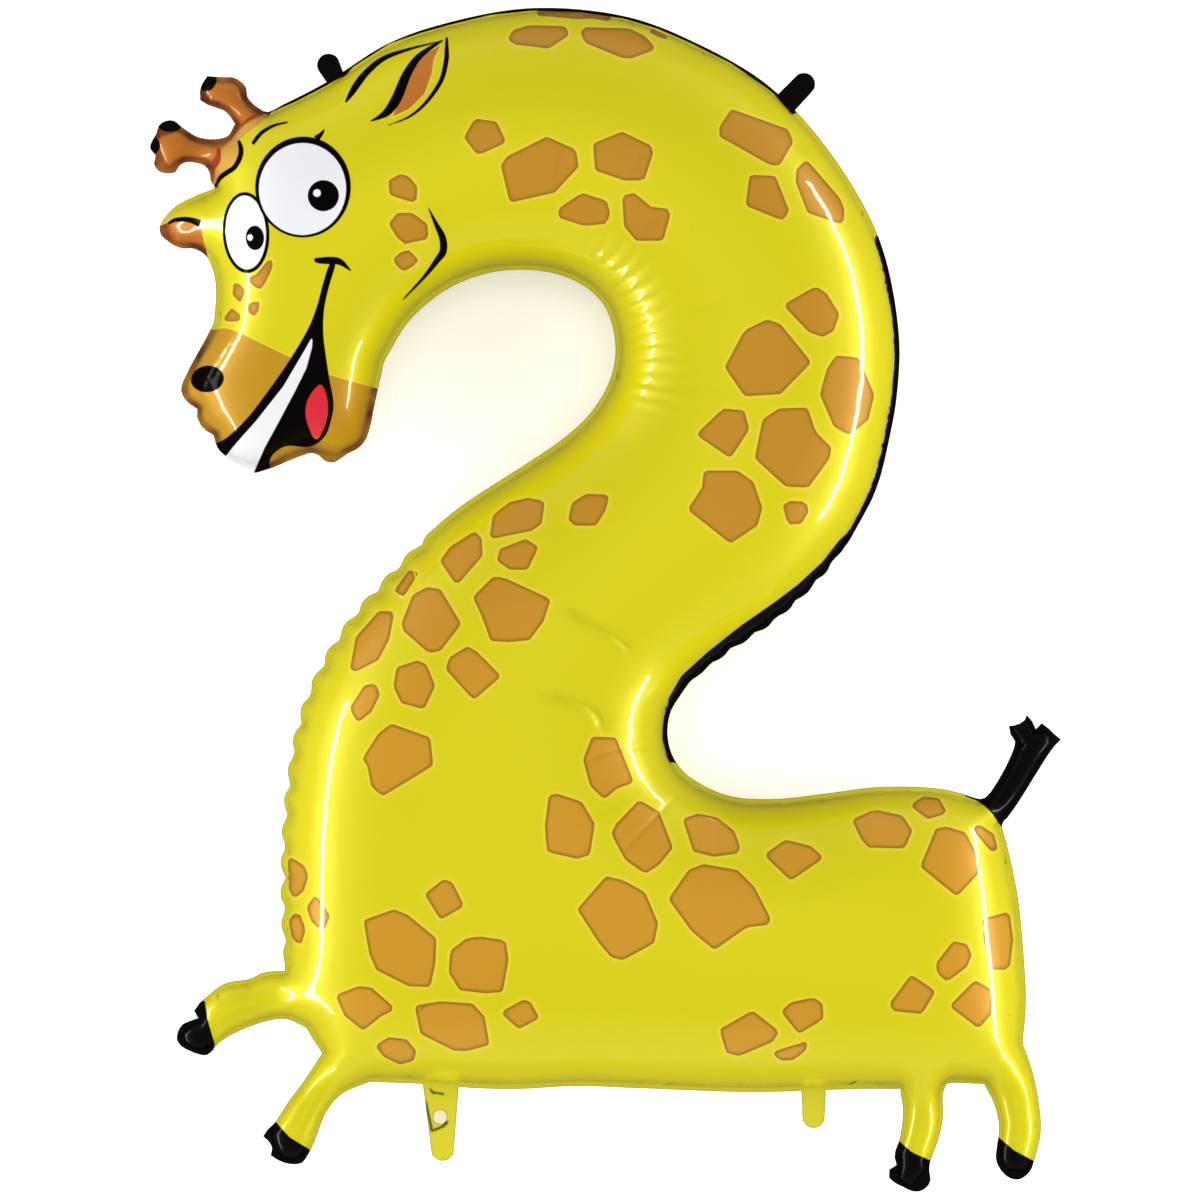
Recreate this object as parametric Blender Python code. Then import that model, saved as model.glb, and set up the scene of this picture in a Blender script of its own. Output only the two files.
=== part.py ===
"""Giraffe foil balloon in the shape of a figure 2, lying on its back.

Metres, +Z up.  +X is the figure's right, +Y its top, and its face looks up.
The film is two flat sheets welded round one outline and blown up, so the
plan below is the outline, and the height of the skin over the seam plane
follows from it.
"""
import math

import bmesh
import bpy
import numpy as np
from mathutils.geometry import delaunay_2d_cdt

# Whole figure
HEIGHT = 1.016          # crown to lowest hoof, along +Y
FULLNESS = 1.00         # height of a slim tube's skin as a share of a round one's
BROAD_SPAN = 0.075      # half width past which a broad panel hardly swells further
REST_FLAT = 0.09        # share of the fullest half depth that lies flat

# Welded edge
SEAM_WIDTH = 0.0035     # flat weld round the inflated skin
SEAM_THICKNESS = 0.0020

# Puckers that the weld is drawn into where the outline bulges
CHEST_PUCKER = (0.026, 0.0045)    # pitch, depth
NAPE_PUCKER = (0.024, 0.0028)

# Flat tabs of film: half width at the root, half width at the round end
CROWN_TAB_ROOT = 0.0085
CROWN_TAB_END = 0.0098
NAPE_TAB_ROOT = 0.0098
NAPE_TAB_END = 0.0096
BELLY_TAB_ROOT = 0.0105
BELLY_TAB_END = 0.0095
NECK_ROOT = 0.0155      # filling neck
NECK_END = 0.0098

# Valve sleeve, welded between the two films of the filling neck
VALVE_LENGTH = 0.042
VALVE_WIDTH = 0.0125
VALVE_THICKNESS = 0.0005
FILLING_HOLE = 0.0060   # radius of the hole in the front film
CLEARANCE = 0.0003

# Spacing of the mesh points
SMOOTH_STEP = 0.0145
LIMB_STEP = 0.0074
PUCKER_STEP = 0.0065
RINGS = ((0.0035, 0.0064), (0.0115, 0.0130))    # inset from the weld, least spacing
FIELD_STEP = 0.0245

# The outline runs clockwise, seen from the face.  Its points are (across, down)
# on a drawing in which the figure is 1184 high, and are scaled to HEIGHT.
CROWN = ((268, 112), (325, 83), (389, 43), (450, 22), (532, 8), (624, 16),
         (690, 40), (769, 86), (832, 155), (880, 241), (899, 335), (897, 395),
         (890, 436), (876, 490), (850, 540))
NAPE = ((850, 540), (814, 584), (773, 621), (723, 655), (690, 682))
SADDLE = ((690, 682), (670, 714), (669, 745), (683, 771), (726, 795), (773, 799),
          (822, 794), (880, 787), (942, 789), (980, 799))
TAIL = ((980, 799), (987, 796), (1015, 741), (1009, 732), (1011, 719), (1020, 713),
        (1030, 717), (1036, 729), (1042, 723), (1053, 733), (1061, 739),
        (1053, 748), (1016, 806), (1002, 825))
RUMP = ((1002, 825), (1012, 866), (1019, 905), (1024, 960), (1026, 1000),
        (1023, 1043))
HIND_LEG = ((1023, 1043), (1033, 1073), (1038, 1097), (1041, 1130), (1035, 1158),
            (1029, 1173), (1016, 1180), (1003, 1173), (996, 1160), (997, 1145),
            (999, 1127), (994, 1104), (984, 1084))
INNER_HIND_LEG = ((951, 1083), (944, 1090), (943, 1119), (938, 1141), (931, 1160),
                  (929, 1169), (931, 1179), (926, 1188), (916, 1192), (903, 1187),
                  (890, 1179), (888, 1171), (897, 1164), (894, 1155), (899, 1141),
                  (903, 1112), (900, 1090))
BELLY = ((900, 1089), (860, 1089), (752, 1092), (635, 1088), (576, 1086),
         (517, 1089), (473, 1088), (423, 1084), (370, 1082))
FORELEG = ((370, 1082), (342, 1094), (327, 1111), (314, 1143), (308, 1155),
           (302, 1163), (289, 1164), (274, 1158), (269, 1153), (273, 1146),
           (263, 1136), (275, 1122), (288, 1102), (303, 1082), (322, 1053))
BREAST = ((322, 1053), (314, 1041), (306, 1028))
RAISED_FORELEG = ((306, 1028), (285, 1019), (249, 1027), (219, 1043), (208, 1055),
                  (192, 1052), (178, 1043), (177, 1034), (184, 1023), (198, 1018),
                  (194, 1011), (205, 998), (226, 983), (249, 979), (265, 972),
                  (285, 971))
CHEST = ((285, 971), (284, 930), (283, 880), (285, 820), (291, 765), (300, 720),
         (316, 678), (337, 640), (364, 604), (402, 563), (441, 522))
BAY = ((441, 522), (464, 504), (532, 460), (564, 438), (592, 411), (611, 377),
       (615, 340), (601, 301), (566, 277), (510, 270), (455, 285), (410, 320),
       (384, 362))
CHIN = ((384, 362), (376, 398), (366, 439), (357, 449), (345, 455), (336, 462),
        (325, 461), (315, 453), (296, 458), (272, 468), (255, 473))
MUZZLE = ((255, 473), (228, 458), (216, 446), (215, 437), (205, 430), (197, 419),
          (198, 410), (187, 402), (181, 390), (188, 371), (205, 340), (214, 322))
BROW = ((214, 322), (216, 290), (213, 270), (207, 257))
SIDE_EAR = ((207, 257), (196, 249), (180, 248), (165, 239), (159, 231), (163, 220),
            (176, 206), (193, 197), (215, 188))
LOWER_HORN = ((215, 188), (210, 179), (208, 168), (190, 162), (181, 164),
              (176, 172), (160, 172), (154, 164), (156, 157), (149, 146),
              (155, 137), (160, 124), (172, 120), (182, 127), (198, 137),
              (218, 139), (229, 135))
HORN_GAP = ((229, 135), (235, 124))
UPPER_HORN = ((235, 124), (226, 112), (208, 105), (200, 100), (202, 84), (209, 75),
              (217, 77), (235, 78), (246, 87), (247, 96), (257, 107), (268, 112))

# Tabs: where the middle of the root and the middle of the round end are drawn
CROWN_TAB = ((336, 79), (328.5, 65))
NAPE_TAB = ((783, 106), (804, 84))
BELLY_TAB = ((813.5, 1086), (813.5, 1117))
FILLING_NECK = ((441, 1082), (442.5, 1149.5))
FILLING_HOLE_AT = (440, 1117)


def smooth_curve(points, per_span=24):
    """Centripetal Catmull-Rom curve through the points."""
    pts = [np.array(p, float) for p in points]
    if len(pts) == 2:
        return np.linspace(pts[0], pts[1], per_span + 1)
    pts = [2 * pts[0] - pts[1]] + pts + [2 * pts[-1] - pts[-2]]
    curve = []
    for p0, p1, p2, p3 in zip(pts, pts[1:], pts[2:], pts[3:]):
        knots = [0.0]
        for a, b in ((p0, p1), (p1, p2), (p2, p3)):
            knots.append(knots[-1] + math.sqrt(np.linalg.norm(b - a)))
        t0, t1, t2, t3 = knots
        for t in np.linspace(t1, t2, per_span, endpoint=False):
            a1 = ((t1 - t) * p0 + (t - t0) * p1) / (t1 - t0)
            a2 = ((t2 - t) * p1 + (t - t1) * p2) / (t2 - t1)
            a3 = ((t3 - t) * p2 + (t - t2) * p3) / (t3 - t2)
            b1 = ((t2 - t) * a1 + (t - t0) * a2) / (t2 - t0)
            b2 = ((t3 - t) * a2 + (t - t1) * a3) / (t3 - t1)
            curve.append(((t2 - t) * b1 + (t - t1) * b2) / (t2 - t1))
    curve.append(pts[-2])
    return np.array(curve)


def spaced(curve, step):
    """The curve with points an even step apart, its last point left off."""
    runs = np.linalg.norm(np.diff(curve, axis=0), axis=1)
    along = np.concatenate(([0.0], np.cumsum(runs)))
    count = max(1, round(along[-1] / step))
    stations = np.linspace(0.0, along[-1], count, endpoint=False)
    return np.column_stack([np.interp(stations, along, curve[:, k]) for k in (0, 1)])


def puckered(curve, pitch, depth):
    """The curve drawn in at an even pitch, with round bulges between."""
    runs = np.linalg.norm(np.diff(curve, axis=0), axis=1)
    along = np.concatenate(([0.0], np.cumsum(runs)))
    bulges = max(1, round(along[-1] / pitch))
    heading = np.gradient(curve, axis=0)
    heading /= np.linalg.norm(heading, axis=1)[:, None]
    outward = np.column_stack((-heading[:, 1], heading[:, 0]))
    push = depth * (np.abs(np.sin(math.pi * bulges * along / along[-1])) - 0.5)
    fade = np.minimum(1.0, np.minimum(along, along[-1] - along) / pitch)
    return curve + outward * (push * fade)[:, None]


def drawing_scale(stretches):
    """Metres per drawn unit and the drawn middle of the outline's box."""
    drawn = np.vstack([smooth_curve(points) for points, _, _ in stretches])
    low, high = drawn.min(axis=0), drawn.max(axis=0)
    return HEIGHT / (high[1] - low[1]), (low + high) / 2


def to_plan(points, scale, middle):
    """Drawn points in metres, with y up and the box's middle at 0, 0."""
    moved = (np.array(points, float) - middle) * scale
    return moved * np.array((1.0, -1.0))


def tab_outline(root, end, root_half, end_half, steps=7):
    """A flat tab: both sides and a round end, clockwise from its near root."""
    along = (end - root) / np.linalg.norm(end - root)
    side = np.array((-along[1], along[0]))
    turns = np.linspace(0.0, math.pi, steps)
    arc = [end + end_half * (math.cos(a) * side + math.sin(a) * along) for a in turns]
    return np.array([root + root_half * side] + arc + [root - root_half * side])


def with_tab(outline, tab):
    """The outline with the stretch that lies across the tab's root replaced."""
    edges = np.roll(outline, -1, axis=0) - outline
    lengths = (edges ** 2).sum(axis=1)
    before, feet = [], []
    for corner in (tab[0], tab[-1]):
        share = ((corner - outline) * edges).sum(axis=1) / lengths
        foot = outline + np.clip(share, 0.0, 1.0)[:, None] * edges
        before.append(((corner - foot) ** 2).sum(axis=1).argmin())
        feet.append(foot[before[-1]])
    root_to_root = np.vstack((feet[0], tab[1:-1], feet[1]))
    return np.vstack((outline[:before[0] + 1], root_to_root, outline[before[1] + 1:]))


def distance_to(points, loop):
    """Distance of each point to a closed loop of straight edges."""
    starts = loop
    edges = np.roll(loop, -1, axis=0) - loop
    lengths = (edges ** 2).sum(axis=1)
    nearest = np.empty(len(points))
    for k, point in enumerate(points):
        share = ((point - starts) * edges).sum(axis=1) / lengths
        foot = starts + np.clip(share, 0.0, 1.0)[:, None] * edges
        nearest[k] = np.sqrt(((point - foot) ** 2).sum(axis=1).min())
    return nearest


def inside(points, loop):
    """Whether each point lies within the closed loop."""
    ends = np.roll(loop, -1, axis=0)
    within = np.zeros(len(points), bool)
    for (x0, y0), (x1, y1) in zip(loop, ends):
        crosses = (y0 > points[:, 1]) != (y1 > points[:, 1])
        if y0 != y1:
            x_at = x0 + (points[:, 1] - y0) * (x1 - x0) / (y1 - y0)
            within ^= crosses & (points[:, 0] < x_at)
    return within


def inset(loop, width):
    """Points a width inside a clockwise loop, where that width is clear."""
    heading = np.roll(loop, -1, axis=0) - np.roll(loop, 1, axis=0)
    heading /= np.linalg.norm(heading, axis=1)[:, None]
    inward = np.column_stack((heading[:, 1], -heading[:, 0]))
    moved = loop + inward * width
    clear = inside(moved, loop) & (distance_to(moved, loop) > 0.97 * width)
    return moved[clear]


def thinned(points, spacing):
    """The points in order, without any nearer than spacing to a kept one."""
    count = 0
    kept = np.empty_like(points)
    for point in points:
        if not count or ((kept[:count] - point) ** 2).sum(axis=1).min() > spacing ** 2:
            kept[count] = point
            count += 1
    return kept[:count]


def lattice(low, high, step):
    """Points of a triangular lattice over a box."""
    rows = np.arange(low[1], high[1], step * math.sqrt(3) / 2)
    found = []
    for row, y in enumerate(rows):
        shift = (row % 2) * step / 2
        found += [(x + shift, y) for x in np.arange(low[0], high[0], step)]
    return np.array(found)


def skin_height(points, triangles, free):
    """Height of the blown-up film over each point of the plan.

    A membrane under even pressure sags by u, with laplacian(u) = -1.  The
    square root of 2u is the half circle of a straight round tube, and keeps
    that steep edge along any outline.  The film can't stretch, which holds a
    broad panel back: u / BROAD_SPAN ** 2 comes off the pressure.
    """
    stiffness = np.zeros((len(points), len(points)))
    load = np.zeros(len(points))
    for triangle in triangles:
        corners = points[list(triangle)]
        opposite = np.array([corners[2] - corners[1], corners[0] - corners[2],
                             corners[1] - corners[0]])
        area = abs(opposite[0][0] * opposite[1][1] - opposite[0][1] * opposite[1][0]) / 2
        if area < 1e-12:
            continue
        for a in range(3):
            load[triangle[a]] += area / 3
            stiffness[triangle[a], triangle[a]] += area / 3 / BROAD_SPAN ** 2
            for b in range(3):
                stiffness[triangle[a], triangle[b]] += opposite[a] @ opposite[b] / (4 * area)
    unknown = np.flatnonzero(free)
    sag = np.zeros(len(points))
    sag[unknown] = np.linalg.solve(stiffness[np.ix_(unknown, unknown)], load[unknown])
    return FULLNESS * np.sqrt(2 * np.maximum(sag, 0.0))


def plan_of_film():
    """The welded edge with its tabs, the skin's own edge, and the scale."""
    stretches = (
        (CROWN, SMOOTH_STEP, None), (NAPE, PUCKER_STEP, NAPE_PUCKER),
        (SADDLE, SMOOTH_STEP, None), (TAIL, LIMB_STEP, None),
        (RUMP, SMOOTH_STEP, None), (HIND_LEG, LIMB_STEP, None),
        ((HIND_LEG[-1], INNER_HIND_LEG[0]), LIMB_STEP, None),
        (INNER_HIND_LEG, LIMB_STEP, None), (BELLY, SMOOTH_STEP, None),
        (FORELEG, LIMB_STEP, None), (BREAST, LIMB_STEP, None),
        (RAISED_FORELEG, LIMB_STEP, None), (CHEST, PUCKER_STEP, CHEST_PUCKER),
        (BAY, SMOOTH_STEP, None), (CHIN, LIMB_STEP, None),
        (MUZZLE, LIMB_STEP, None), (BROW, LIMB_STEP, None),
        (SIDE_EAR, LIMB_STEP, None), (LOWER_HORN, LIMB_STEP, None),
        (HORN_GAP, LIMB_STEP, None), (UPPER_HORN, LIMB_STEP, None))
    scale, middle = drawing_scale(stretches)
    edge = []
    for points, step, pucker in stretches:
        curve = to_plan(smooth_curve(points), scale, middle)
        if pucker:
            curve = puckered(curve, *pucker)
        edge.append(spaced(curve, step))
    edge = np.vstack(edge)
    outer = edge
    for (root, end), root_half, end_half in (
            (CROWN_TAB, CROWN_TAB_ROOT, CROWN_TAB_END),
            (NAPE_TAB, NAPE_TAB_ROOT, NAPE_TAB_END),
            (BELLY_TAB, BELLY_TAB_ROOT, BELLY_TAB_END),
            (FILLING_NECK, NECK_ROOT, NECK_END)):
        root, end = to_plan((root, end), scale, middle)
        outer = with_tab(outer, tab_outline(root, end, root_half, end_half))
    off_centre = (outer.min(axis=0) + outer.max(axis=0)) / 2
    middle = middle + off_centre / scale * np.array((1.0, -1.0))
    return outer - off_centre, edge - off_centre, scale, middle


def film_mesh(outer, edge):
    """The closed blown-up film, its seam plane at z = 0, and its half depth."""
    weld = inset(edge, SEAM_WIDTH)
    field = lattice(edge.min(axis=0), edge.max(axis=0), FIELD_STEP)
    within = np.empty((0, 2))
    for depth, spacing in RINGS:
        ring = inset(edge, SEAM_WIDTH + depth)
        within = np.vstack((within, thinned(ring, spacing)))
    field = field[inside(field, edge)]
    field = field[distance_to(field, edge) > SEAM_WIDTH + RINGS[-1][0] + FIELD_STEP / 2]
    within = np.vstack((within, field))

    plan = np.vstack((outer, weld, within))
    first_weld, first_within = len(outer), len(outer) + len(weld)
    weld_edges = [(a, a + 1) for a in range(first_weld, first_within - 1)]
    weld_edges.append((first_within - 1, first_weld))
    whole = list(range(len(outer)))[::-1]
    points, _, triangles, origin, _, _ = delaunay_2d_cdt(
        [tuple(p) for p in plan], weld_edges, [whole], 1, 1e-7, True)
    points = np.array([tuple(p) for p in points])
    middles = np.array([points[list(t)].mean(axis=0) for t in triangles])
    triangles = [t for t, kept in zip(triangles, inside(middles, outer)) if kept]
    free = np.array([any(o >= first_within for o in source) for source in origin])
    height = skin_height(points, triangles, free)

    rest_depth = (1.0 - REST_FLAT) * height.max()
    mesh = bmesh.new()
    number = mesh.verts.layers.int.new("plan_point")
    sheet = [mesh.verts.new((x, y, 0.0)) for x, y in points]
    for index, vert in enumerate(sheet):
        vert[number] = index
    for triangle in triangles:
        mesh.faces.new([sheet[k] for k in triangle])
    loose = [v for v in mesh.verts if not v.link_faces]
    bmesh.ops.delete(mesh, geom=loose, context="VERTS")
    front = bmesh.ops.extrude_face_region(mesh, geom=mesh.faces[:])
    front = {e for e in front["geom"] if isinstance(e, bmesh.types.BMVert)}
    for vert in mesh.verts:
        lift = SEAM_THICKNESS / 2 + height[vert[number]]
        vert.co.z = lift if vert in front else -min(lift, rest_depth)
    bmesh.ops.recalc_face_normals(mesh, faces=mesh.faces[:])
    return mesh, rest_depth


def new_object(name, mesh, colour, roughness, metallic):
    """An object in the scene, with its own plain material."""
    data = bpy.data.meshes.new(name)
    mesh.to_mesh(data)
    mesh.free()
    thing = bpy.data.objects.new(name, data)
    bpy.context.scene.collection.objects.link(thing)
    material = bpy.data.materials.new(name)
    material.use_nodes = True
    shader = material.node_tree.nodes["Principled BSDF"]
    shader.inputs["Base Color"].default_value = colour
    shader.inputs["Roughness"].default_value = roughness
    shader.inputs["Metallic"].default_value = metallic
    data.materials.append(material)
    return thing


def sleeve_mesh(centre, level, grow):
    """The valve sleeve, or the space for it when grown by its clearance."""
    mesh = bmesh.new()
    bmesh.ops.create_cube(mesh, size=1.0)
    size = (VALVE_WIDTH + 2 * grow, VALVE_LENGTH + 2 * grow, VALVE_THICKNESS + 2 * grow)
    bmesh.ops.scale(mesh, vec=size, verts=mesh.verts)
    bmesh.ops.translate(mesh, vec=(centre[0], centre[1], level), verts=mesh.verts)
    return mesh


def hole_mesh(centre, level):
    """A drill from the seam plane up through the front film."""
    mesh = bmesh.new()
    bmesh.ops.create_cone(mesh, cap_ends=True, segments=28, radius1=FILLING_HOLE,
                          radius2=FILLING_HOLE, depth=2 * SEAM_THICKNESS)
    above = level + SEAM_THICKNESS
    bmesh.ops.translate(mesh, vec=(centre[0], centre[1], above), verts=mesh.verts)
    return mesh


def cut(thing, name, mesh):
    """Cut a shape out of a thing, and keep the shape as a wire cutter."""
    cutter = new_object(name, mesh, (0.5, 0.5, 0.5, 1.0), 0.5, 0.0)
    cutter.hide_render = True
    cutter.display_type = "WIRE"
    modifier = thing.modifiers.new(name, "BOOLEAN")
    modifier.operation = "DIFFERENCE"
    modifier.solver = "EXACT"
    modifier.object = cutter


def build():
    """Model the balloon and the valve sleeve in its filling neck."""
    for thing in list(bpy.data.objects):
        bpy.data.objects.remove(thing, do_unlink=True)

    outer, edge, scale, middle = plan_of_film()
    film, rest_depth = film_mesh(outer, edge)
    bmesh.ops.translate(film, vec=(0.0, 0.0, rest_depth), verts=film.verts)
    balloon = new_object("foil_balloon", film, (0.70, 0.62, 0.03, 1.0), 0.22, 0.45)

    hole = to_plan((FILLING_HOLE_AT,), scale, middle)[0]
    sleeve = sleeve_mesh(hole, rest_depth, 0.0)
    new_object("filling_valve", sleeve, (0.80, 0.79, 0.74, 1.0), 0.35, 0.0)
    cut(balloon, "valve_space", sleeve_mesh(hole, rest_depth, CLEARANCE))
    cut(balloon, "filling_hole", hole_mesh(hole, rest_depth))


build()
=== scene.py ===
import math
import bmesh
import bpy
import numpy as np
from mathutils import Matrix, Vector
from mathutils.kdtree import KDTree


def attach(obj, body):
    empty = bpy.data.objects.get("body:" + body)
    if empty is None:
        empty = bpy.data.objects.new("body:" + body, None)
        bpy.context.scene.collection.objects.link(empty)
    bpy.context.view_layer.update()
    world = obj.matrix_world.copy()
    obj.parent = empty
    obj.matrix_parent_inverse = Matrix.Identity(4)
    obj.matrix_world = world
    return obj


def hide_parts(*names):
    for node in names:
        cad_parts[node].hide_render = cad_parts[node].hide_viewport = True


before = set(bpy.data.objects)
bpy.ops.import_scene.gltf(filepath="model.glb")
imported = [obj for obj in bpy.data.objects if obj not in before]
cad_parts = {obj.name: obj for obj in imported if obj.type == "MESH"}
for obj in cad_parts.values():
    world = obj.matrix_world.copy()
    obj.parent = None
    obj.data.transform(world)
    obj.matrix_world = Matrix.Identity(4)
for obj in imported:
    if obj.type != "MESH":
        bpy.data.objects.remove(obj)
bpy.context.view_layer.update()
print("frame loaded")

# The drawing that the outline and the print are measured on, x right and y down
drawing = {
    "unit": 0.00085792,              # metres in one drawn unit
    "middle": (605.516, 599.694),    # the drawn point over the origin
    "size": 1200,                    # drawn units along each side of the picture
    "curveSteps": 6,                 # short lines in each stretch of a curve
    "ovalPoints": 56,
    "margin": 0.016,                 # metres round a shape where its distance counts
    "farthest": 0.05,                # metres, the distance given to all places beyond
}


def toMetres(points):
    return (np.array(points, float) - drawing["middle"]) * drawing["unit"] * (1, -1)


# A curve through the points, which may carry a width as a third number
def smoothLine(points):
    p = np.array(points, float)
    p = np.vstack((2 * p[0] - p[1], p, 2 * p[-1] - p[-2]))
    t = np.linspace(0, 1, drawing["curveSteps"], endpoint=False)[:, None]
    spans = []
    for a, b, c, d in zip(p, p[1:], p[2:], p[3:]):
        bend = (2 * a - 5 * b + 4 * c - d) * t ** 2 + (3 * b - a - 3 * c + d) * t ** 3
        spans.append((2 * b + (c - a) * t + bend) / 2)
    spans.append(p[-2:-1])
    return np.vstack(spans)


# A pen stroke of changing width, as a closed outline
def stroke(points):
    line = smoothLine(points)
    heading = np.gradient(line[:, :2], axis=0)
    heading /= np.linalg.norm(heading, axis=1)[:, None]
    side = np.column_stack((-heading[:, 1], heading[:, 0])) * line[:, 2:] / 2
    return np.vstack((line[:, :2] + side, (line[:, :2] - side)[::-1]))


def smoothLoop(points):
    p = np.array(points, float)
    steps = drawing["curveSteps"]
    return smoothLine(np.vstack((p[-2:], p, p[:3])))[2 * steps:(2 + len(p)) * steps]


def oval(x, y, halfWidth, halfHeight, turn=0.0):
    a = np.linspace(0, 2 * math.pi, drawing["ovalPoints"], endpoint=False)
    u, v = halfWidth * np.cos(a), halfHeight * np.sin(a)
    c, s = math.cos(math.radians(turn)), math.sin(math.radians(turn))
    return np.column_stack((x + c * u - s * v, y + s * u + c * v))


# Distance to a closed outline in metres, negative inside
def distanceTo(points, outline):
    x, y = points[:, 0], points[:, 1]
    nearest = np.full(len(points), 1e9)
    within = np.zeros(len(points), bool)
    for (ax, ay), (bx, by) in zip(outline, np.roll(outline, -1, axis=0)):
        ex, ey = bx - ax, by - ay
        px, py = x - ax, y - ay
        share = np.clip((px * ex + py * ey) / (ex * ex + ey * ey + 1e-18), 0, 1)
        nearest = np.minimum(nearest, (px - ex * share) ** 2 + (py - ey * share) ** 2)
        if ey:
            within ^= ((ay > y) != (by > y)) & (px < ex * py / ey)
    return np.where(within, -1, 1) * np.sqrt(nearest)


# Distance to the nearest of several printed shapes, each an outline in drawn
# units, with its corners rounded off to a radius
def distanceToPrint(points, shapes, rounding=0.0):
    nearest = np.full(len(points), drawing["farthest"])
    for shape in shapes:
        outline, radius = toMetres(shape), 0.0
        if rounding:
            outline, radius = insetOutline(outline, rounding * drawing["unit"])
        low = outline.min(axis=0) - drawing["margin"]
        high = outline.max(axis=0) + drawing["margin"]
        near = np.flatnonzero(((points > low) & (points < high)).all(axis=1))
        if len(near):
            away = distanceTo(points[near], outline) - radius
            nearest[near] = np.minimum(nearest[near], away)
    return nearest


# The outline moved inwards, and how far it was moved: less on a small shape
def insetOutline(outline, radius):
    after = np.roll(outline, -1, axis=0)
    area = (outline[:, 0] * after[:, 1] - after[:, 0] * outline[:, 1]).sum() / 2
    radius = min(radius, patches["mostRounding"] * math.sqrt(abs(area)))
    heading = after - outline
    heading /= np.linalg.norm(heading, axis=1)[:, None]
    inward = np.column_stack((-heading[:, 1], heading[:, 0])) * math.copysign(1, area)
    before = np.roll(inward, 1, axis=0)
    miter = (before + inward) / (1 + (before * inward).sum(axis=1))[:, None]
    return outline + radius * miter, radius


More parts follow.
